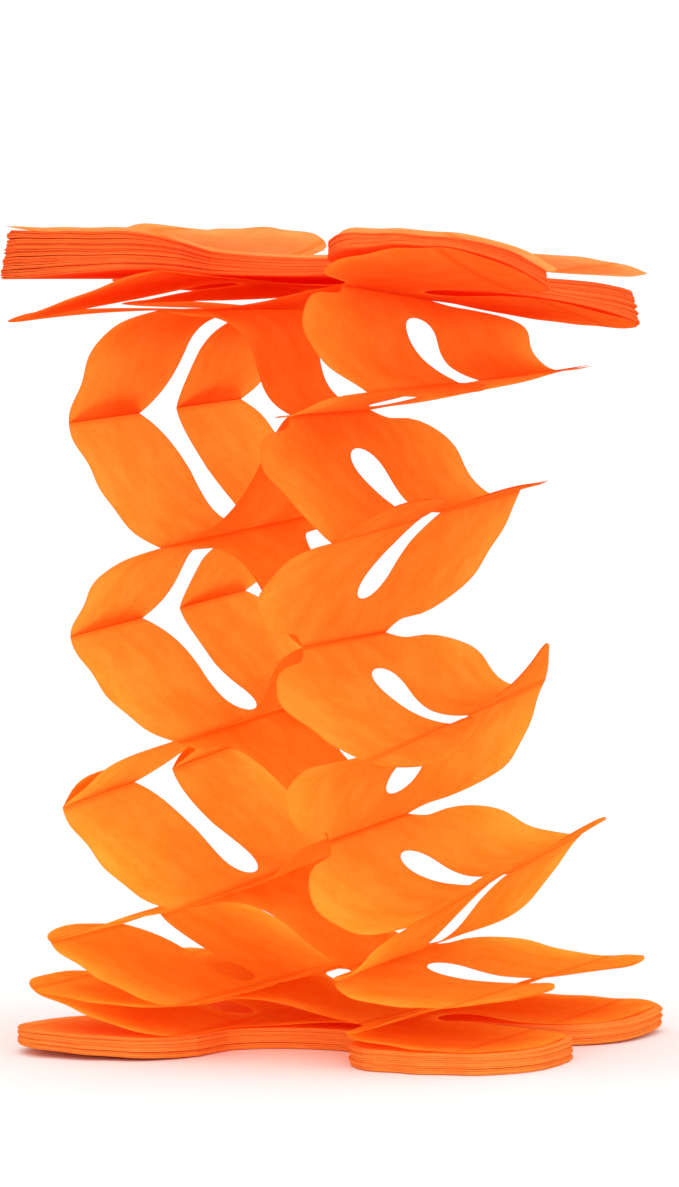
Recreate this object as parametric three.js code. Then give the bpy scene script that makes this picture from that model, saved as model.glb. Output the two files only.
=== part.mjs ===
import * as THREE from "three";
import { mergeVertices } from "three/addons/utils/BufferGeometryUtils.js";

// A paper clover garland, part opened: a pile of clover-shaped tissue sheets, each glued to the
// next along straight lines that alternate between two sets, so the pile pulls out into cells.
// Sizes are in mm and the garland stands on z = 0. On a flat sheet, a runs across the glue lines
// and b runs along them.

// The cut of one sheet: four petals, a narrow slot on each side along a, a wide notch along b.
const PETAL_A = 40.5;
const PETAL_B = 33.5;
const HALF_A = 23;
const HALF_B = 27;
const PETAL_POWER = 2.6; // 2 would make oval petals, more makes them squarer
const SHEET_END = PETAL_A + HALF_A;
const SLOT_END = 24.5;
const SLOT_DEEP = 8;
const SLOT_HALF = 9;
const SLOT_MOUTH = 4.8;
const NOTCH_END = 21;
const NOTCH_HALF = PETAL_A - HALF_A;
const RIPPLE = 0.7;
const RIPPLE_LONG = 13;

// The glue lines. Each gap between two sheets uses the first and third line, or the others.
const PITCH = 0.567 * SHEET_END;
const GLUE_OFF = -0.113 * PITCH; // the lines sit a little left of the sheet's middle
const GLUE = [-1.5, -0.5, 0.5, 1.5].map((n) => GLUE_OFF + n * PITCH);

// The paper, thicker than real tissue so that each sheet is a solid, and the gap kept at the glue.
const THICK = 0.4;
const GAP = 0.3;

// The glued levels from the top pile down to the bottom pile, in mm for a pitch of LEVEL_PITCH. Each
// has its left and its right line as two places, across and up: over the middle of the near petals
// and over that of the far ones. The flap outside the outer line has a near and a far angle (0 points
// outwards, 90 points up), and the level keeps that share of the top pile's curl. The bow is how
// steeply the right strip of the sheet above leaves its two lines, near and far, beside the straight
// line between them.
const LEVEL_PITCH = 36;
const EVEN_BOW = [[1.8, 0.1], [0.8, -0.4]];
const FLAT_BOW = [[0.2, 0.7], [0.2, 0.7]];
const LEVELS = [
  { left: [[-25.3, 175.6], [-25.3, 175.6]], right: [[44, 175.6], [44, 175.6]], flap: [0, 0], curl: 1 },
  { left: [[-60.5, 167.5], [-60.5, 172]], right: [[8.5, 173.4], [12.5, 174.8]], flap: [0, 0], curl: 1,
    bow: FLAT_BOW },
  { left: [[-24.7, 169], [-24.7, 171]], right: [[29, 151], [32, 155.3]], flap: [-4, 8], curl: 0.1,
    bow: [[1.1, 0.5], [0.35, 0.45]] },
  { left: [[-46.5, 144.5], [-47.5, 148.5]], right: [[-3.5, 145], [-3.5, 147]], flap: [95, 95], curl: 0,
    bow: FLAT_BOW },
  { left: [[-24.5, 116.5], [-25.5, 121]], right: [[20.5, 119], [22, 125.5]], flap: [32, 17], curl: 0,
    bow: EVEN_BOW },
  { left: [[-46, 96.5], [-46.5, 101.5]], right: [[-0.5, 92], [0.5, 94.5]], flap: [95, 95], curl: 0,
    bow: [[1.8, 0.3], [0.1, 1.35]] },
  { left: [[-20.5, 73], [-21.5, 78]], right: [[28, 71.5], [28.5, 79]], flap: [2, 54], curl: 0,
    bow: EVEN_BOW },
  { left: [[-48, 58], [-48.5, 63.5]], right: [[6, 47.5], [6, 52]], flap: [95, 95], curl: 0,
    bow: [[1.5, 0.3], [0.6, 1]] },
  { left: [[-20.5, 35], [-21, 39.5]], right: [[37.5, 35], [38, 42.5]], flap: [34, 32], curl: 0,
    bow: [[2, -0.6], [0.8, -0.4]] },
  { left: [[-51, 26.2], [-51.5, 27.5]], right: [[10.5, 19], [10.5, 21]], flap: [10, 10], curl: 0,
    bow: [[0.2, 1.1], [0.2, 1.1]] },
  { left: [[-21, 12.2], [-21.5, 13]], right: [[46, 15], [46, 16]], flap: [6, 6], curl: 0,
    bow: [[1, 0], [0.5, -0.2]] },
  { left: [[-55.5, 15], [-55.5, 15]], right: [[13.2, 6.8], [13.2, 6.8]], flap: [15, 15], curl: 0,
    bow: FLAT_BOW },
  { left: [[-21.5, 5], [-21.5, 5]], right: [[48.5, 5], [48.5, 5]], flap: [0, 0], curl: 0,
    bow: FLAT_BOW },
];
const TURN = THREE.MathUtils.degToRad(21); // of the whole column, seen from above

// The same slopes for the other strips. Sheets with an even number hang straight on the left.
const LEFT_BOW = { even: [0.95, 0.8], odd: [1.1, 0.4] };
const MIDDLE_BOW = [0.3, 0.3];

// The piles of closed sheets. The top one is pinched in the middle, so its petals fan out and curl.
const REACH = Math.hypot(PETAL_A, PETAL_B) + HALF_A;
const BOTTOM_THICK = (LEVELS.at(-1).left[0][1] * PITCH) / LEVEL_PITCH - GAP / 2;
const TOP_UNDER = (LEVELS[0].left[0][1] * PITCH) / LEVEL_PITCH + GAP;
const TOP_SWING = -0.14 * PITCH;
const PINCH_THICK = 4;
const FAN = { left: 6.5, right: 4 };

// The curl of the top pile's petals, as shares of their reach: left petal up and right petal down,
// the droop of both, and the rise and the twist of the front petal.
const CURL = { tip: -0.065, droop: -0.06, rise: 0.075, twist: -0.15 };

// How far the loose sheet on top stands off the right petal and off the back one, as the same shares.
const LOOSE = { right: 0.13, back: 0.18 };

const TISSUE = new THREE.MeshStandardMaterial({ color: 0xff7a1e, roughness: 0.9 });
const PILE = new THREE.MeshStandardMaterial({ color: 0xf95a23, roughness: 0.9 });

// Half the height of a petal at a distance along a from its middle.
function petalHalf(away) {
  const part = Math.min(Math.abs(away) / HALF_A, 1);
  return HALF_B * Math.pow(1 - Math.pow(part, PETAL_POWER), 1 / PETAL_POWER);
}

// A rounded end: from 0 at its start to 1 after its depth.
function roundEnd(into, depth) {
  const left = THREE.MathUtils.clamp(1 - into / depth, 0, 1);
  return Math.sqrt(1 - left * left);
}

// Where the paper begins and ends along b at one place along a, on the side with b over 0.
function paperSpan(a) {
  const off = Math.abs(a);
  const petal = petalHalf(off - PETAL_A);
  const wave = 1 + (RIPPLE / HALF_B) * Math.cos((2 * Math.PI * (off - PETAL_A)) / RIPPLE_LONG);
  const notch = PETAL_B - (PETAL_B - NOTCH_END) * roundEnd(NOTCH_HALF - off, NOTCH_HALF);
  const outer = off < NOTCH_HALF ? notch : PETAL_B + petal * wave;
  const along = (off - SLOT_END) / (PETAL_A - SLOT_END);
  const slot = roundEnd(off - SLOT_END, SLOT_DEEP) * THREE.MathUtils.lerp(SLOT_HALF, SLOT_MOUTH, along);
  const rim = PETAL_B - (petal / HALF_B) * (PETAL_B - SLOT_MOUTH);
  const inner = off < PETAL_A ? slot : rim;
  return [off < SLOT_END ? 0 : inner, outer];
}

// Places along a where the sheet's mesh has points: close together where the outline turns fast.
function stations() {
  const between = (from, to, shares) => shares.map((s) => THREE.MathUtils.lerp(from, to, s));
  const bends = [
    ...between(0, NOTCH_HALF, [0.34, 0.63, 0.86, 1]),
    ...between(NOTCH_HALF, SLOT_END, [0.17, 1]),
    ...between(SLOT_END, PETAL_A, [0.09, 0.24, 0.42, 0.64, 0.85]),
    ...between(PETAL_A, SHEET_END, [0.065, 0.24, 0.54, 0.72, 0.85, 0.95, 0.983]),
  ];
  const all = [0, ...bends, ...bends.map((a) => -a), ...GLUE];
  return all.sort((p, q) => p - q);
}

// Shares of the reach: from the left petal to the right one, and from the back petal to the front one.
function petalShares(a, b) {
  return [(a + b) / Math.SQRT2 / REACH, (a - b) / Math.SQRT2 / REACH];
}

// The curl of the pinched top pile: its right petal droops, and its front one rises and twists.
function topCurl(a, b) {
  const [u, v] = petalShares(a, b);
  const front = Math.max(v, 0) ** 2;
  return REACH * (CURL.tip * u + CURL.droop * u * u + (CURL.rise + CURL.twist * u) * front);
}

// A place in the column: across the glue lines, along them, and up, turned to the standing frame.
function turned(across, along, height) {
  const x = across * Math.cos(TURN) + along * Math.sin(TURN);
  const y = along * Math.cos(TURN) - across * Math.sin(TURN);
  return new THREE.Vector3(x, y, height);
}

// The levels that a sheet's four glue lines sit on. Sheet n lies between level n - 1 and level n.
function lineLevels(sheet) {
  const outer = sheet % 2 ? sheet : sheet - 1;
  const inner = sheet % 2 ? sheet - 1 : sheet;
  return [outer, inner, outer, inner];
}

// The direction of the flap outside the first or the last glue line, at an angle in degrees.
function flapWay(angle, line) {
  const turn = THREE.MathUtils.degToRad(angle);
  return new THREE.Vector2((line ? 1 : -1) * Math.cos(turn), Math.sin(turn));
}

// A sheet's four creases at its near or its far petals, seen along the glue lines: x is across and y
// is up. At each one the sheet lies half a gap above or below the level, on its own side of the sheet
// that it is glued to.
function creases(sheet, end) {
  return lineLevels(sheet).map((n, line) => {
    const level = LEVELS[n];
    const way = line % 3 ? new THREE.Vector2(1, 0) : flapWay(level.flap[end], line);
    const off = ((n === sheet ? 1 : -1) * (THICK + GAP)) / 2;
    const at = new THREE.Vector2(...(line < 2 ? level.left : level.right)[end]);
    at.multiplyScalar(PITCH / LEVEL_PITCH);
    return at.add(new THREE.Vector2((line ? -1 : 1) * way.y * off, Math.abs(way.x) * off));
  });
}

// A strip between two creases as a curve: its ends reach further out until it is as long as the
// strip is, so the paper is not stretched.
function stripCurve(from, to, slopes) {
  const run = to.clone().sub(from);
  const angle = Math.atan2(run.y, run.x);
  const ways = slopes.map((s) => new THREE.Vector2(Math.cos(angle * s), Math.sin(angle * s)));
  const curve = new THREE.CubicBezierCurve(from, from.clone(), to.clone(), to);
  let low = 0;
  let high = 0.48 * PITCH;
  for (let step = 0; step < 16; step += 1) {
    const reach = (low + high) / 2;
    curve.v1.copy(from).addScaledVector(ways[0], reach);
    curve.v2.copy(to).addScaledVector(ways[1], -reach);
    curve.updateArcLengths();
    if (curve.getLength() < PITCH) low = reach;
    else high = reach;
  }
  return curve;
}

// The three strips of a sheet at its near or its far petals.
function stripsOf(sheet, points, end) {
  const left = sheet % 2 ? LEFT_BOW.odd : LEFT_BOW.even;
  const bows = [left, MIDDLE_BOW, LEVELS[sheet].bow[end]];
  return bows.map((bow, i) => stripCurve(points[i], points[i + 1], bow));
}

// The fold of a sheet: where a place on the flat sheet goes, seen along the glue lines. It is worked
// out at the near and at the far petals, and the paper runs straight from one to the other.
function foldOf(sheet) {
  const points = [0, 1].map((end) => creases(sheet, end));
  const strips = points.map((ends, end) => stripsOf(sheet, ends, end));
  const levels = lineLevels(sheet).map((n) => LEVELS[n]);
  return (a, b) => {
    const far = (b / PETAL_B + 1) / 2;
    const strip = Math.floor((a - GLUE[0]) / PITCH + 1e-6);
    const inFlap = strip < 0 || strip > 2;
    const line = THREE.MathUtils.clamp(strip, 0, 3);
    const part = inFlap ? 0 : THREE.MathUtils.clamp((a - GLUE[line]) / PITCH, 0, 1);
    const next = levels[inFlap ? line : line + 1];
    const at = inFlap
      ? points[0][line].clone().lerp(points[1][line], far)
      : strips[0][line].getPointAt(part).lerp(strips[1][line].getPointAt(part), far);
    if (inFlap) {
      const angle = THREE.MathUtils.lerp(...levels[line].flap, far);
      at.addScaledVector(flapWay(angle, line), Math.abs(a - GLUE[line]));
    }
    at.y += topCurl(at.x, b) * THREE.MathUtils.lerp(levels[line].curl, next.curl, part);
    return at;
  };
}

// The two faces of an opened sheet, half its thickness to each side of the fold.
function openSheet(sheet, across) {
  const fold = foldOf(sheet);
  return (i, b, face) => {
    const at = fold(across[i], b);
    const before = fold(across[Math.max(i - 1, 0)], b);
    const after = fold(across[Math.min(i + 1, across.length - 1)], b);
    const along = after.sub(before).normalize();
    const off = (face * THICK) / 2;
    return turned(at.x - along.y * off, b, at.y + along.x * off);
  };
}

// The closed pile at the bottom, flat on both faces.
function bottomPile(across) {
  return (i, b, face) => turned(across[i], b, face > 0 ? BOTTOM_THICK : 0);
}

// The two faces of the pinched top pile, which fans out towards the tips of its left and right petals.
function topFaces(a, b) {
  const [u] = petalShares(a, b);
  const under = TOP_UNDER + topCurl(a, b);
  return [under, under + PINCH_THICK + (u < 0 ? FAN.left : FAN.right) * u * u];
}

function topPile(across) {
  return (i, b, face) => {
    const a = TOP_SWING + across[i];
    const [under, over] = topFaces(a, b);
    return turned(a, b, face > 0 ? over : under);
  };
}

// The loose sheet on the top pile. Over the right petal it stands off most at the far side.
function looseSheet(across) {
  return (i, b, face) => {
    const a = TOP_SWING + across[i];
    const [u, v] = petalShares(a, b);
    const right = LOOSE.right * Math.max(u, 0) * Math.max(0.5 - v, 0);
    const back = LOOSE.back * Math.min(v, 0) ** 2;
    const under = topFaces(a, b)[1] + GAP + REACH * (right + back);
    return turned(a, b, face > 0 ? under + THICK : under);
  };
}

// A closed solid from the two faces of a sheet or a pile, laid out over the cut's outline.
function clover(name, across, place, rows, material) {
  const at = [];
  const quad = (p, q, r, s) => at.push(p, q, r, p, r, s);
  const wall = (p, q) => quad(p[0], q[0], q[1], p[1]);
  for (const side of [-1, 1]) {
    const grid = across.map((a, i) => {
      const [inner, outer] = paperSpan(a);
      const ends = side > 0 ? [inner, outer] : [-outer, -inner];
      return Array.from({ length: rows + 1 }, (_, r) => {
        const b = THREE.MathUtils.lerp(ends[0], ends[1], r / rows);
        return [place(i, b, -1), place(i, b, 1)];
      });
    });
    for (let i = 0; i + 1 < across.length; i += 1) {
      const [here, next] = [grid[i], grid[i + 1]];
      for (let r = 0; r < rows; r += 1) {
        quad(here[r][1], next[r][1], next[r + 1][1], here[r + 1][1]);
        quad(here[r][0], here[r + 1][0], next[r + 1][0], next[r][0]);
      }
      const joined = Math.max(Math.abs(across[i]), Math.abs(across[i + 1])) <= SLOT_END;
      if (side < 0 || !joined) wall(here[0], next[0]);
      if (side > 0 || !joined) wall(next[rows], here[rows]);
    }
    for (let r = 0; r < rows; r += 1) {
      wall(grid[0][r + 1], grid[0][r]);
      wall(grid.at(-1)[r], grid.at(-1)[r + 1]);
    }
  }
  const geometry = new THREE.BufferGeometry().setFromPoints(at);
  const welded = mergeVertices(geometry, 1e-3);
  welded.computeVertexNormals();
  const mesh = new THREE.Mesh(welded, material);
  mesh.name = name;
  return mesh;
}

const garland = new THREE.Group();
garland.name = "paper_clover_garland";
const across = stations();
garland.add(clover("loose_sheet", across, looseSheet(across), 4, TISSUE));
garland.add(clover("top_pile", across, topPile(across), 4, PILE));
for (let sheet = 1; sheet < LEVELS.length; sheet += 1) {
  const name = `open_sheet_${String(sheet).padStart(2, "0")}`;
  const rows = sheet < 3 ? 2 : 1;
  garland.add(clover(name, across, openSheet(sheet, across), rows, TISSUE));
}
garland.add(clover("bottom_pile", across, bottomPile(across), 1, PILE));

export default garland;
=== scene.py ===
"""A paper clover garland, drawn part open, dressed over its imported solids.

Clover-shaped tissue sheets are glued along straight lines that alternate between two sets. Each opened
sheet is cut flat, folded between its glue lines and given the slight waves of loose paper. The piles
above and below are stacks of separate sheets.

Sizes are in mm until a mesh is placed in the frame. On a flat sheet, a runs across the glue lines and b
runs along them. The near petals are those with b below 0, and the far petals are the other two. In the
piles the near ones are called left and front, and the far ones back and right, each from low a to high a.
"""

import math
from typing import NamedTuple

import bmesh
import bpy
import numpy as np
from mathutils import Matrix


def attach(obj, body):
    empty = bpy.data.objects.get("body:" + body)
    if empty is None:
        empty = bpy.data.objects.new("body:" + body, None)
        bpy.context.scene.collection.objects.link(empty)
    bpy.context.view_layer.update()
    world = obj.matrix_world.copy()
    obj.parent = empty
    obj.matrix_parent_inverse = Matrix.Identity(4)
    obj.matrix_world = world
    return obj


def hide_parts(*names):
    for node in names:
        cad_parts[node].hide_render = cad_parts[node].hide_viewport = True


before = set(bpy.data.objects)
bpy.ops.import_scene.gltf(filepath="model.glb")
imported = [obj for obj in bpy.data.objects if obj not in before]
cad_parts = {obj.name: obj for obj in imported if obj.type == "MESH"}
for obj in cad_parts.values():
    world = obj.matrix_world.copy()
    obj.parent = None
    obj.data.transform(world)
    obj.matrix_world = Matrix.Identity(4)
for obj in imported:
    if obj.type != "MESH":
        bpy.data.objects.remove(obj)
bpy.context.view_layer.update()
MM = 0.001
NEAR, FAR = 0, 1

# The cut of one sheet: four petals, a narrow slot on each side along a, a wide notch along b.
PETAL_A, PETAL_B = 40.5, 33.5
HALF_A, HALF_B = 23.0, 27.0
PETAL_POWER = 2.6
SHEET_END = PETAL_A + HALF_A
SLOT_END, SLOT_DEEP, SLOT_HALF, SLOT_MOUTH = 24.5, 8.0, 9.0, 4.8
NOTCH_END = 21.0
NOTCH_HALF = PETAL_A - HALF_A
RIPPLE, RIPPLE_LONG = 0.7, 13.0
REACH = math.hypot(PETAL_A, PETAL_B) + HALF_A

# The glue lines, a little off the middle of the sheet. The solids keep a gap there.
PITCH = 0.567 * SHEET_END
GLUE_OFF = -0.113 * PITCH
GLUE = [GLUE_OFF + n * PITCH for n in (-1.5, -0.5, 0.5, 1.5)]
GLUE_GAP = 0.3

# How far the garland is turned about its upright axis.
TURN = math.radians(21)

# The meshes: points per mm across the glue lines, and rows along each half of a sheet.
SHEET_POINTS, SHEET_ROWS = 0.9, 36
PILE_POINTS, PILE_ROWS = 0.5, 7
LEAST_STEPS = 4
CLEAR_OF_GLUE = 0.2
SAME_POINT = 0.001
UV_SPAN = 140.0


class Level(NamedTuple):
    """A glued level: where its left and its right line lie, across and up, the angle of the flap outside
    its outer line, its share of the top pile's curl, and the bow of the right strip of the sheet above.

    All but the curl are pairs, for the near and the far petals. A bow says how steeply a strip leaves its
    two lines: 0 is level, and 1 is straight from line to line."""

    left: tuple
    right: tuple
    flap: tuple
    curl: float
    bow: tuple


# Bows of right strips, of left strips on even and odd sheets, and of all middle strips.
EVEN_BOW = ((1.8, 0.1), (0.8, -0.4))
FLAT_BOW = ((0.2, 0.7), (0.2, 0.7))
LEFT_BOW = ((0.95, 0.8), (1.1, 0.4))
MIDDLE_BOW = (0.3, 0.3)

# The curve of a strip: its longest handles, the points along it, and the tries to fit its length.
LONGEST_HANDLE = 0.48 * PITCH
CURVE_POINTS = 400
CURVE_TRIES = 16

# The levels from the top pile down, for a pitch of LEVEL_PITCH.
LEVEL_PITCH = 36.0
LEVELS = [
    Level(((-25.3, 175.6), (-25.3, 175.6)), ((44, 175.6), (44, 175.6)), (0, 0), 1, FLAT_BOW),
    Level(((-60.5, 167.5), (-60.5, 172)), ((8.5, 173.4), (12.5, 174.8)), (0, 0), 1, FLAT_BOW),
    Level(((-24.7, 169), (-24.7, 171)), ((29, 151), (32, 155.3)), (-4, 8), 0.1, ((1.1, 0.5), (0.35, 0.45))),
    Level(((-46.5, 144.5), (-47.5, 148.5)), ((-3.5, 145), (-3.5, 147)), (95, 95), 0, FLAT_BOW),
    Level(((-24.5, 116.5), (-25.5, 121)), ((20.5, 119), (22, 125.5)), (32, 17), 0, EVEN_BOW),
    Level(((-46, 96.5), (-46.5, 101.5)), ((-0.5, 92), (0.5, 94.5)), (95, 95), 0, ((1.8, 0.3), (0.1, 1.35))),
    Level(((-20.5, 73), (-21.5, 78)), ((28, 71.5), (28.5, 79)), (2, 54), 0, EVEN_BOW),
    Level(((-48, 58), (-48.5, 63.5)), ((6, 47.5), (6, 52)), (95, 95), 0, ((1.5, 0.3), (0.6, 1))),
    Level(((-20.5, 35), (-21, 39.5)), ((37.5, 35), (38, 42.5)), (34, 32), 0, ((2, -0.6), (0.8, -0.4))),
    Level(((-51, 26.2), (-51.5, 27.5)), ((10.5, 19), (10.5, 21)), (10, 10), 0, ((0.2, 1.1), (0.2, 1.1))),
    Level(((-21, 12.2), (-21.5, 13)), ((46, 15), (46, 16)), (6, 6), 0, ((1, 0), (0.5, -0.2))),
    Level(((-55.5, 15), (-55.5, 15)), ((13.2, 6.8), (13.2, 6.8)), (15, 15), 0, FLAT_BOW),
    Level(((-21.5, 5), (-21.5, 5)), ((48.5, 5), (48.5, 5)), (0, 0), 0, FLAT_BOW),
]

# The waves of loose paper. Each has its share, and turns with a, with b and with a phase.
WAVES = ((0.5, 0.06, 1 / 9.5, 1), (0.2, -0.11, 1 / 4.4, 2.3), (0.3, 1 / 6.1, 1 / 13, 1.7))
WAVE_SHARE, WAVE_LEAST, WAVE_MOST = 0.03, 0.06, 0.6
WAVE_RISE = 1.5
FLAP_WAVE, FLAP_OPEN = 0.5, 0.5

# The bottom pile lies flat, and only the tips of its left and right petals lift.
PAPER = 0.22
BOTTOM_SHEETS = 26
BOTTOM_THICK = LEVELS[-1].left[NEAR][1] * PITCH / LEVEL_PITCH - GLUE_GAP / 2
BOTTOM_WAVE, BOTTOM_WAVE_STEP = 0.06, 0.3
BOTTOM_LIFT, LIFT_POWER, LIFT_FADES = 1.6, 4, 16.0

# The top pile is pinched in the middle, and fans out and curls towards the petal tips.
TOP_SHEETS = 42
TOP_UNDER = LEVELS[0].left[NEAR][1] * PITCH / LEVEL_PITCH + GLUE_GAP
TOP_SWING = -0.14 * PITCH
PINCH_THICK, FAN_LEFT, FAN_RIGHT, FRONT_THIN = 4.0, 6.5, 4.0, 1.2
LOW_REACH, HIGH_REACH = 0.992, 0.968
CURL_TIP, CURL_DROOP, CURL_RISE, CURL_TWIST = -0.065, -0.06, 0.055, -0.15
TOP_WAVE, TOP_WAVE_SHIFT = 0.8, 2.2

# The loose sheet on the top pile stands off it over the right and the back petals.
LOOSE_OFF, LOOSE_SWING = 0.6, 1.4
LOOSE_RIGHT, LOOSE_RIGHT_FROM, LOOSE_BACK = 0.15, 0.5, 0.13

# How far the sheets of a pile are out of line, in degrees and mm, and how unevenly they are spaced.
OUT_TURN, OUT_SHIFT = 0.2, 0.2
UNEVEN_SLOW, UNEVEN_FAST = 0.4, 0.18

# Sines of a sheet's number stand in for chance: slow ones for bunches, and fast ones for single sheets.
TURN_SLOW, TURN_FAST = 0.8, 5.1
ACROSS_SLOW, ACROSS_START, ACROSS_FAST = 0.63, 0.7, 4.3
ALONG_SLOW, ALONG_FAST = 0.9, 3.7
SPACE_SLOW, SPACE_FAST = 1.1, 2.9


class Dye(NamedTuple):
    """A tissue's colours in its deep and its light mottle and on glue lines and rims, and the share of
    light that comes through it."""

    deep: tuple
    light: tuple
    glued: tuple
    through: float


OPEN_DYE = Dye((0.98, 0.255, 0.024), (1.0, 0.325, 0.042), (0.97, 0.22, 0.02), 0.5)
# Painted light: the loose sheet is the same tissue, painted paler for the light that shines through it from
# behind.
PAINTED_BACKLIT_DYE = Dye((0.98, 0.36, 0.085), (1.0, 0.45, 0.13), (0.97, 0.3, 0.05), 0.6)
# Painted shade: the piles are the same tissue, painted deeper red for the shade between their many layers.
PAINTED_SHADE_PILE_DYE = Dye((1.0, 0.16, 0.03), (1.0, 0.22, 0.045), (1.0, 0.16, 0.03), 0.15)

# The tones of the deep and the light mottle, and the scales of its clouds and fibres.
MOTTLE_DEEP, MOTTLE_LIGHT = 0.4, 0.6
CLOUD_SCALE, FIBRE_SCALE = 120, 900

# Where a glue line's colour begins and ends to fade, off its middle, and how much of it a rim has.
GLUE_CORE, GLUE_EDGE = 0.4, 1.6
RIM_SHARE = 0.7
PAPER_ROUGH = 0.9
CRINKLE, CRINKLE_DEEP = 0.3, 0.1 * MM

# Painted light: the tissue is painted lighter and yellower towards the table, for the light that reaches its
# lower folds.
PAINTED_LOW_LIGHT_TINT = (1.0, 1.8, 1.6, 1.0)
PAINTED_LOW_LIGHT_POWER = 1.6

# The stage, in metres and watts. The camera's sensor and lens are in mm.
FLOOR_RADIUS, FLOOR_SIDES = 6.0, 96
FLOOR_WHITE = (0.91, 0.91, 0.91, 1)
FLOOR_ROUGH, FLOOR_SHINE = 0.9, 0.1
ROOM_WHITE, ROOM_STRENGTH = (1, 1, 1, 1), 1.12
SOFTBOX_SIZE, SOFTBOX_AIM = 1.2, (0, 0, 0.08)
SOFTBOXES = (
    ("key_softbox", (-0.5, -1.3, 1.2), 3),
    ("fill_softbox", (0.4, -1.9, 0.4), 9),
    ("back_softbox", (0.6, 1.4, 1.0), 2.5),
)
CAMERA_PLACE, CAMERA_TILT = (-0.0013, -1.3, 0.1368), math.radians(88.555)
SENSOR, LENS, CLIP_END = 36, 170, 50

# Light goes from sheet to sheet many times in the folds.
BOUNCES, DIFFUSE_BOUNCES = 20, 16


# The cut


def petal_half(away):
    """Half a petal's length along b, at a distance along a from its middle."""
    part = np.minimum(np.abs(away) / HALF_A, 1)
    return HALF_B * (1 - part**PETAL_POWER) ** (1 / PETAL_POWER)


def round_end(into, depth):
    """A rounded end: from 0 at its start to 1 after its depth."""
    left = np.clip(1 - into / depth, 0, 1)
    return np.sqrt(1 - left * left)


def paper_span(a):
    """Where the paper begins and ends along b at one place along a, on the side with b over 0."""
    off = abs(a)
    petal = petal_half(off - PETAL_A)
    wave = 1 + RIPPLE / HALF_B * math.cos(2 * math.pi * (off - PETAL_A) / RIPPLE_LONG)
    if off < NOTCH_HALF:
        outer = PETAL_B - (PETAL_B - NOTCH_END) * round_end(NOTCH_HALF - off, NOTCH_HALF)
    else:
        outer = PETAL_B + petal * wave
    if off <= SLOT_END:
        return 0.0, outer
    if off >= PETAL_A:
        return PETAL_B - petal / HALF_B * (PETAL_B - SLOT_MOUTH), outer
    along = (off - SLOT_END) / (PETAL_A - SLOT_END)
    wide = SLOT_HALF + (SLOT_MOUTH - SLOT_HALF) * along
    return round_end(off - SLOT_END, SLOT_DEEP) * wide, outer


def columns(per_mm):
    """Places along a where a sheet has points: closer where the outline turns fast, and on the glue lines."""
    turns = (0, NOTCH_HALF, SLOT_END, PETAL_A, SHEET_END)
    half = [0.0]
    for start, end in zip(turns, turns[1:]):
        steps = max(LEAST_STEPS, round((end - start) * per_mm))
        ease = (1 - np.cos(np.linspace(0, math.pi, steps + 1)[1:])) / 2
        half.extend(start + (end - start) * ease)
    both = sorted({-a for a in half} | set(half))
    clear = [a for a in both if min(abs(a - line) for line in GLUE) > CLEAR_OF_GLUE or abs(a) in turns]
    return sorted(clear + GLUE)


def flat_sheet(per_mm, rows):
    """A flat sheet with the clover cut, as a mesh in mm: x is across the glue lines, y is along them."""
    across = columns(per_mm)
    last = len(across) - 1
    bm = bmesh.new()
    for side in (-1, 1):
        grid = bmesh.ops.create_grid(bm, x_segments=last, y_segments=rows, size=0.5)
        for vert in grid["verts"]:
            a = across[round((vert.co.x + 0.5) * last)]
            inner, outer = paper_span(a)
            start, end = (inner, outer) if side > 0 else (-outer, -inner)
            vert.co = (a, start + (end - start) * (vert.co.y + 0.5), 0)
    bmesh.ops.remove_doubles(bm, verts=bm.verts, dist=SAME_POINT)
    rim = bm.verts.layers.float.new("rim")
    for vert in bm.verts:
        vert[rim] = vert.is_boundary
    place = bm.loops.layers.uv.new("sheet")
    for face in bm.faces:
        face.smooth = True
        for loop in face.loops:
            loop[place].uv = (0.5 + loop.vert.co.x / UV_SPAN, 0.5 + loop.vert.co.y / UV_SPAN)
    mesh = bpy.data.meshes.new("flat_sheet")
    bm.to_mesh(mesh)
    bm.free()
    return mesh


def points_of(mesh):
    """A mesh's points as three rows of coordinates."""
    flat = np.empty(len(mesh.vertices) * 3, np.float32)
    mesh.vertices.foreach_get("co", flat)
    return flat.reshape(-1, 3).astype(float).T


def set_points(mesh, across, along, height):
    """Puts a mesh in the frame: the column is turned, and its sizes become metres."""
    x = across * math.cos(TURN) + along * math.sin(TURN)
    y = along * math.cos(TURN) - across * math.sin(TURN)
    placed = np.stack([x, y, height], axis=1) * MM
    mesh.vertices.foreach_set("co", placed.astype(np.float32).ravel())
    mesh.update()


# The shape of the piles


def between(first, second, share):
    """A value that is a share of the way from the first to the second."""
    return first + (second - first) * share


def petal_shares(a, b):
    """Shares of the reach: from the left petal to the right one, and from the back petal to the front one."""
    return (a + b) / math.sqrt(2) / REACH, (a - b) / math.sqrt(2) / REACH


def waves(a, b, phase):
    """Slight waves in loose paper, from about -1 to 1."""
    return sum(size * np.sin(by_a * a + by_b * b + by_phase * phase) for size, by_a, by_b, by_phase in WAVES)


def top_curl(a, b):
    """The curl of the pinched top pile: its right petal droops, and its front one rises and twists."""
    u, v = petal_shares(a, b)
    front = np.maximum(v, 0) ** 2
    return REACH * (CURL_TIP * u + CURL_DROOP * u * u + (CURL_RISE + CURL_TWIST * u) * front)


def top_thick(a, b):
    """The thickness of the top pile."""
    u, v = petal_shares(a, b)
    fan = np.where(u < 0, FAN_LEFT, FAN_RIGHT) * u * u
    return PINCH_THICK + fan - FRONT_THIN * np.maximum(v, 0) ** 2


def top_wave(a, b, share):
    """Waves in the top pile, from none in its lowest sheet to most in its highest."""
    u, v = petal_shares(a, b)
    return TOP_WAVE * share * (u * u + v * v) * waves(a, b, TOP_WAVE_SHIFT * share)


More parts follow.
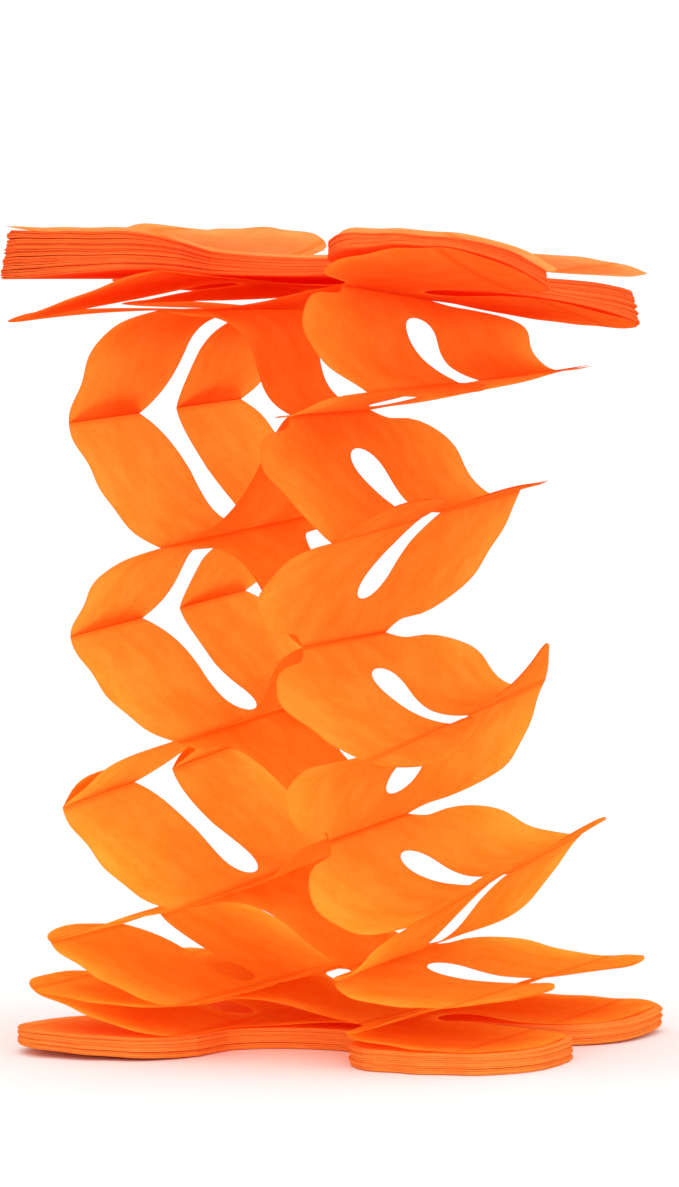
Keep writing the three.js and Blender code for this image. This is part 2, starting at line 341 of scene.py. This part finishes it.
def bottom_lift(a, b, height):
    """The left and right petals curl up a little off the table. Higher up this fades out."""
    u, _ = petal_shares(a, b)
    return BOTTOM_LIFT * u**LIFT_POWER * np.clip(1 - height / LIFT_FADES, 0, 1)


# The folds


def line_levels(sheet):
    """The levels that a sheet's four glue lines sit on. Sheet n lies between level n - 1 and level n."""
    outer, inner = (sheet, sheet - 1) if sheet % 2 else (sheet - 1, sheet)
    return outer, inner, outer, inner


def creases(sheet, end):
    """A sheet's four creases at its near or far petals, across and up."""
    levels = [LEVELS[number] for number in line_levels(sheet)]
    sides = [level.left for level in levels[:2]] + [level.right for level in levels[2:]]
    return [np.array(side[end]) * PITCH / LEVEL_PITCH for side in sides]


def strip_curve(start, end, bow, part):
    """Points and directions, across and up, at parts of a strip between two creases. It keeps its length."""
    run = end - start
    angle = math.atan2(run[1], run[0])
    ways = [np.array((math.cos(angle * s), math.sin(angle * s))) for s in bow]
    t = np.linspace(0, 1, CURVE_POINTS)[:, None]
    # The curve's handles are tried until it is as long as the flat strip.
    low, high = 0.0, LONGEST_HANDLE
    for _ in range(CURVE_TRIES):
        handle = (low + high) / 2
        bend = start + ways[0] * handle, end - ways[1] * handle
        line = (1 - t) ** 3 * start + 3 * t * (1 - t) ** 2 * bend[0]
        line = line + 3 * t**2 * (1 - t) * bend[1] + t**3 * end
        steps = np.linalg.norm(np.diff(line, axis=0), axis=1)
        if steps.sum() < PITCH:
            low = handle
        else:
            high = handle
    share = np.concatenate([[0], np.cumsum(steps)]) / steps.sum()
    slope = np.gradient(line, axis=0)
    slope /= np.linalg.norm(slope, axis=1)[:, None]
    table = np.concatenate([line, slope], axis=1)
    return np.array([np.interp(part, share, column) for column in table.T])


def near_to_far(b):
    """0 at the middle of the near petals, and 1 at the middle of the far ones."""
    return (b / PETAL_B + 1) / 2


def looseness(sheet):
    """The size of a sheet's waves. It is larger where the sheet is drawn further open."""
    places = creases(sheet, NEAR)
    lower, upper = (0, 1) if sheet % 2 else (1, 0)
    open_height = places[upper][1] - places[lower][1]
    return min(WAVE_MOST, WAVE_SHARE * open_height + WAVE_LEAST)


def fold_strip(sheet, strip, a, b):
    """Where points between two glue lines go: across, up, and their share of the top pile's curl."""
    part = (a - GLUE[strip]) / PITCH
    sides = []
    for end in (NEAR, FAR):
        start, stop = creases(sheet, end)[strip : strip + 2]
        bow = (LEFT_BOW[sheet % 2], MIDDLE_BOW, LEVELS[sheet].bow[end])[strip]
        sides.append(strip_curve(start, stop, bow, part))
    across, up, run, rise = between(*sides, near_to_far(b))
    lift = looseness(sheet) * np.sin(math.pi * part) ** WAVE_RISE * waves(a, b, sheet)
    curls = [LEVELS[number].curl for number in line_levels(sheet)[strip : strip + 2]]
    return across - lift * rise, up + lift * run, between(*curls, part)


def fold_flap(sheet, line, a, b):
    """Where points outside an outer glue line go: across, up, and their share of the top pile's curl."""
    number = line_levels(sheet)[line]
    level = LEVELS[number]
    side = 1 if line else -1
    out = np.abs(a - GLUE[line])
    tip = out / (SHEET_END - abs(GLUE[line]))
    angle = np.radians(between(*level.flap, near_to_far(b)))
    # The two sheets that are glued here part a little towards their tips.
    open_way = 1 if number == sheet else -1
    lift = tip**WAVE_RISE * (FLAP_WAVE * waves(a, b, number) + open_way * FLAP_OPEN / 2)
    roots = [creases(sheet, end)[line][:, None] for end in (NEAR, FAR)]
    root = between(*roots, near_to_far(b))
    across = root[0] + side * (np.cos(angle) * out - np.sin(angle) * lift)
    up = root[1] + np.sin(angle) * out + np.cos(angle) * lift
    return across, up, np.full_like(a, level.curl)


def fold(sheet, a, b):
    """Where points of a flat sheet go when the garland is drawn open: across and up, in mm.

    The fold is worked out at the near and the far petals, and the paper runs straight between them."""
    placed = np.zeros((3, len(a)))
    for strip in range(3):
        here = (a >= GLUE[strip]) & (a <= GLUE[strip + 1])
        placed[:, here] = fold_strip(sheet, strip, a[here], b[here])
    for line, here in ((0, a < GLUE[0]), (3, a > GLUE[3])):
        placed[:, here] = fold_flap(sheet, line, a[here], b[here])
    across, up, curl = placed
    up = up + curl * top_curl(across, b)
    return across, up + bottom_lift(across, b, up)


# The single sheets


def new_piece(name, mesh):
    """A new object with a mesh of the same name."""
    mesh.name = name
    piece = bpy.data.objects.new(name, mesh)
    bpy.context.scene.collection.objects.link(piece)
    return piece


def dress(piece, material, solid):
    """Puts a piece of paper in the place of its solid."""
    piece.data.materials.append(material)
    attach(piece, "root")
    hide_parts(solid)


def one_sheet(cut, name, points, material, solid):
    """A single sheet, cut flat and then folded to its points, in the place of its solid."""
    mesh = cut.copy()
    set_points(mesh, *points)
    piece = new_piece(name, mesh)
    dress(piece, material, solid)


def opened_sheets(cut, material):
    """The sheets between the piles, from the top one down."""
    a, b, _ = points_of(cut)
    for sheet in range(1, len(LEVELS)):
        across, height = fold(sheet, a, b)
        solid = f"open_sheet_{sheet:02d}"
        one_sheet(cut, f"tissue_sheet_{sheet:02d}", (across, b, height), material, solid)


def loose_sheet(cut, material):
    """The sheet on the top pile. Over the right petal it stands off most at the far side."""
    flat_a, b, _ = points_of(cut)
    a = TOP_SWING + LOOSE_SWING + flat_a
    u, v = petal_shares(a, b)
    right = LOOSE_RIGHT * np.maximum(u, 0) * np.maximum(LOOSE_RIGHT_FROM - v, 0)
    back = LOOSE_BACK * np.minimum(v, 0) ** 2
    pile = top_thick(a, b) + top_wave(a, b, 1)
    height = TOP_UNDER + top_curl(a, b) + pile + LOOSE_OFF + REACH * (right + back)
    one_sheet(cut, "loose_top_sheet", (a, b, height), material, "loose_sheet")


# The piles


def out_of_line(a, b, k):
    """Sheet k of a pile, still flat, a little out of line with the next one and with the next bunch."""
    turn = math.radians(OUT_TURN * (math.sin(TURN_SLOW * k) + math.sin(TURN_FAST * k)))
    across = a * math.cos(turn) - b * math.sin(turn)
    along = b * math.cos(turn) + a * math.sin(turn)
    across = across + OUT_SHIFT * (math.sin(ACROSS_SLOW * k + ACROSS_START) + math.sin(ACROSS_FAST * k))
    along = along + OUT_SHIFT * (math.cos(ALONG_SLOW * k) + math.cos(ALONG_FAST * k))
    return across, along


def pile_share(k, sheets):
    """How high sheet k lies in its pile, as a share. Sheets are closer in some places than in others."""
    uneven = UNEVEN_SLOW * math.sin(SPACE_SLOW * k) + UNEVEN_FAST * math.sin(SPACE_FAST * k)
    return (k + 0.5 + uneven) / sheets


def bottom_place(across, along, share, k):
    """Where a sheet of the bottom pile lies."""
    u, v = petal_shares(across, along)
    wave = BOTTOM_WAVE * (u * u + v * v) * waves(across, along, BOTTOM_WAVE_STEP * k)
    height = PAPER / 2 + (BOTTOM_THICK - PAPER) * share + share * wave
    return across, along, height + bottom_lift(across, along, height)


def top_place(across, along, share, _):
    """Where a sheet of the top pile lies. The higher sheets of the fan reach less far."""
    reach = between(LOW_REACH, HIGH_REACH, share)
    a, along = reach * (TOP_SWING + across), reach * along
    height = PAPER / 2 + (top_thick(a, along) - PAPER) * share + top_wave(a, along, share)
    return a, along, TOP_UNDER + top_curl(a, along) + height


def stack(name, sheets, place, material, solid):
    """A pile of separate sheets in one piece, each put where the function place says."""
    cut = flat_sheet(PILE_POINTS, PILE_ROWS)
    a, b, _ = points_of(cut)
    bm = bmesh.new()
    parts = []
    for k in range(sheets):
        bm.from_mesh(cut)
        parts.append(place(*out_of_line(a, b, k), pile_share(k, sheets), k))
    for face in bm.faces:
        face.smooth = False
    mesh = bpy.data.meshes.new(name)
    bm.to_mesh(mesh)
    bm.free()
    bpy.data.meshes.remove(cut)
    set_points(mesh, *np.concatenate(parts, axis=1))
    piece = new_piece(name, mesh)
    thick = piece.modifiers.new("paper", "SOLIDIFY")
    thick.thickness = PAPER * MM
    thick.offset = 0
    dress(piece, material, solid)


# The tissue


def add_node(tree, kind, values=None, **settings):
    """A new shader node, with its settings and the values of its inputs."""
    made = tree.nodes.new(kind)
    for name, value in settings.items():
        setattr(made, name, value)
    for name, value in (values or {}).items():
        made.inputs[name].default_value = value
    return made


def tissue_fibre_group():
    """Mottled, fibrous tissue: a tone from 0 to 1, and a height for its faint crinkle."""
    group = bpy.data.node_groups.new("tissue fibre", "ShaderNodeTree")
    group.interface.new_socket("Place", in_out="INPUT", socket_type="NodeSocketVector")
    for way, names in (("INPUT", ("Cloud scale", "Fibre scale")), ("OUTPUT", ("Tone", "Crinkle"))):
        for name in names:
            group.interface.new_socket(name, in_out=way, socket_type="NodeSocketFloat")
    given = add_node(group, "NodeGroupInput")
    made = add_node(group, "NodeGroupOutput")
    cloud = add_node(group, "ShaderNodeTexNoise", {"Detail": 3})
    fibre = add_node(group, "ShaderNodeTexNoise", {"Detail": 5, "Roughness": 0.65, "Distortion": 0.8})
    tone = add_node(group, "ShaderNodeMix", {"Factor": 0.5})
    for noise, scale in ((cloud, "Cloud scale"), (fibre, "Fibre scale")):
        group.links.new(given.outputs["Place"], noise.inputs["Vector"])
        group.links.new(given.outputs[scale], noise.inputs["Scale"])
    group.links.new(cloud.outputs["Fac"], tone.inputs["A"])
    group.links.new(fibre.outputs["Fac"], tone.inputs["B"])
    group.links.new(tone.outputs["Result"], made.inputs["Tone"])
    group.links.new(fibre.outputs["Fac"], made.inputs["Crinkle"])
    return group


def coordinate(tree, place, axis):
    """One coordinate of a place."""
    parts = add_node(tree, "ShaderNodeSeparateXYZ")
    tree.links.new(place, parts.inputs["Vector"])
    return parts.outputs[axis]


def worked_out(tree, operation, value, number):
    """A value and a number, put together by a math operation."""
    step = add_node(tree, "ShaderNodeMath", {1: number}, operation=operation)
    tree.links.new(value, step.inputs[0])
    return step.outputs[0]


def mapped(tree, value, ends):
    """A value, mapped from the first two of four ends to the last two and kept between those."""
    names = ("From Min", "From Max", "To Min", "To Max")
    share = add_node(tree, "ShaderNodeMapRange", dict(zip(names, ends)))
    tree.links.new(value, share.inputs["Value"])
    return share.outputs["Result"]


def glue_mask(tree):
    """1 on the sheet's glue lines, falling to 0 beside them."""
    place = add_node(tree, "ShaderNodeUVMap", uv_map="sheet").outputs["UV"]
    first_line = 0.5 + GLUE[0] / UV_SPAN
    off = worked_out(tree, "SUBTRACT", coordinate(tree, place, "X"), first_line)
    away = worked_out(tree, "PINGPONG", off, PITCH / 2 / UV_SPAN)
    return mapped(tree, away, (GLUE_CORE / UV_SPAN, GLUE_EDGE / UV_SPAN, 1, 0))


def rim_mask(tree):
    """RIM_SHARE on the cut edges of a sheet, and 0 inside it."""
    rim = add_node(tree, "ShaderNodeAttribute", attribute_name="rim")
    return worked_out(tree, "MULTIPLY", rim.outputs["Fac"], RIM_SHARE)


def painted_low_light_share(tree, place):
    """0 at the top pile, rising faster and faster to 1 at the table."""
    share = mapped(tree, coordinate(tree, place, "Z"), (TOP_UNDER * MM, 0, 0, 1))
    return worked_out(tree, "POWER", share, PAINTED_LOW_LIGHT_POWER)


def mottled(tree, tone, dye):
    """The colour of bare tissue with a tone from 0 to 1."""
    ramp = add_node(tree, "ShaderNodeValToRGB")
    deep, light = ramp.color_ramp.elements
    deep.position, deep.color = MOTTLE_DEEP, (*dye.deep, 1)
    light.position, light.color = MOTTLE_LIGHT, (*dye.light, 1)
    tree.links.new(tone, ramp.inputs["Fac"])
    return ramp.outputs["Color"]


def tinted(tree, colour, tint, factor, blend="MIX"):
    """A colour, blended with a tint by a factor."""
    mix = add_node(tree, "ShaderNodeMix", {"B": tint}, data_type="RGBA", blend_type=blend)
    tree.links.new(factor, mix.inputs["Factor"])
    tree.links.new(colour, mix.inputs["A"])
    return mix.outputs["Result"]


def tissue(name, fibre, dye):
    """Thin paper: part of the light comes back, and part comes through in the same colour."""
    material = bpy.data.materials.new(name)
    material.use_nodes = True
    tree = material.node_tree
    tree.nodes.clear()
    place = add_node(tree, "ShaderNodeTexCoord").outputs["Object"]
    scales = {"Cloud scale": CLOUD_SCALE, "Fibre scale": FIBRE_SCALE}
    pattern = add_node(tree, "ShaderNodeGroup", scales, node_tree=fibre)
    tree.links.new(place, pattern.inputs["Place"])
    colour = mottled(tree, pattern.outputs["Tone"], dye)
    for mask in (glue_mask, rim_mask):
        colour = tinted(tree, colour, (*dye.glued, 1), mask(tree))
    # Painted light: the tissue is made lighter and yellower towards the table.
    colour = tinted(tree, colour, PAINTED_LOW_LIGHT_TINT, painted_low_light_share(tree, place), "MULTIPLY")
    bump = add_node(tree, "ShaderNodeBump", {"Strength": CRINKLE, "Distance": CRINKLE_DEEP})
    face = add_node(tree, "ShaderNodeBsdfPrincipled", {"Roughness": PAPER_ROUGH, "Specular IOR Level": 0})
    glow = add_node(tree, "ShaderNodeBsdfTranslucent")
    mix = add_node(tree, "ShaderNodeMixShader", {"Fac": dye.through})
    out = add_node(tree, "ShaderNodeOutputMaterial")
    tree.links.new(pattern.outputs["Crinkle"], bump.inputs["Height"])
    tree.links.new(bump.outputs["Normal"], face.inputs["Normal"])
    tree.links.new(colour, face.inputs["Base Color"])
    tree.links.new(colour, glow.inputs["Color"])
    tree.links.new(face.outputs[0], mix.inputs[1])
    tree.links.new(glow.outputs[0], mix.inputs[2])
    tree.links.new(mix.outputs[0], out.inputs["Surface"])
    return material


# The stage


def floor():
    """A wide white floor under the garland."""
    bm = bmesh.new()
    bmesh.ops.create_circle(bm, cap_ends=True, segments=FLOOR_SIDES, radius=FLOOR_RADIUS)
    mesh = bpy.data.meshes.new("floor")
    bm.to_mesh(mesh)
    bm.free()
    piece = new_piece("floor", mesh)
    material = bpy.data.materials.new("white_card")
    material.use_nodes = True
    face = material.node_tree.nodes["Principled BSDF"]
    face.inputs["Base Color"].default_value = FLOOR_WHITE
    face.inputs["Roughness"].default_value = FLOOR_ROUGH
    face.inputs["Specular IOR Level"].default_value = FLOOR_SHINE
    mesh.materials.append(material)


def soft_light(name, place, power):
    """A round softbox, turned towards the garland."""
    data = bpy.data.lights.new(name, "AREA")
    data.shape = "DISK"
    data.size = SOFTBOX_SIZE
    data.energy = power
    lamp = bpy.data.objects.new(name, data)
    lamp.location = place
    way = np.array(SOFTBOX_AIM) - np.array(place)
    lamp.rotation_euler = (math.acos(-way[2] / np.linalg.norm(way)), 0, math.atan2(-way[0], way[1]))
    bpy.context.scene.collection.objects.link(lamp)


def studio():
    """An evenly white room with softboxes."""
    scene = bpy.context.scene
    world = bpy.data.worlds.new("white_room")
    world.use_nodes = True
    background = world.node_tree.nodes["Background"]
    background.inputs["Color"].default_value = ROOM_WHITE
    background.inputs["Strength"].default_value = ROOM_STRENGTH
    scene.world = world
    for softbox in SOFTBOXES:
        soft_light(*softbox)
    scene.view_settings.view_transform = "Standard"
    scene.cycles.max_bounces = BOUNCES
    scene.cycles.diffuse_bounces = DIFFUSE_BOUNCES
    scene.cycles.transmission_bounces = BOUNCES


def camera():
    """A camera with a long lens, almost level with the garland."""
    data = bpy.data.cameras.new("camera")
    data.sensor_width = SENSOR
    data.lens = LENS
    data.clip_end = CLIP_END
    eye = bpy.data.objects.new("camera", data)
    eye.location = CAMERA_PLACE
    eye.rotation_euler = (CAMERA_TILT, 0, 0)
    bpy.context.scene.collection.objects.link(eye)
    bpy.context.scene.camera = eye


def garland():
    """All the paper: the opened sheets, the loose one and the two piles."""
    fibre = tissue_fibre_group()
    open_tissue = tissue("open_tissue", fibre, OPEN_DYE)
    # The loose sheet's paler colour is painted backlight.
    painted_backlit_tissue = tissue("painted_backlit_tissue", fibre, PAINTED_BACKLIT_DYE)
    # The piles' deeper red is painted shade.
    painted_shade_pile_tissue = tissue("painted_shade_pile_tissue", fibre, PAINTED_SHADE_PILE_DYE)
    cut = flat_sheet(SHEET_POINTS, SHEET_ROWS)
    opened_sheets(cut, open_tissue)
    loose_sheet(cut, painted_backlit_tissue)
    bpy.data.meshes.remove(cut)
    stack("top_pile_sheets", TOP_SHEETS, top_place, painted_shade_pile_tissue, "top_pile")
    stack("bottom_pile_sheets", BOTTOM_SHEETS, bottom_place, painted_shade_pile_tissue, "bottom_pile")


garland()
floor()
studio()
camera()
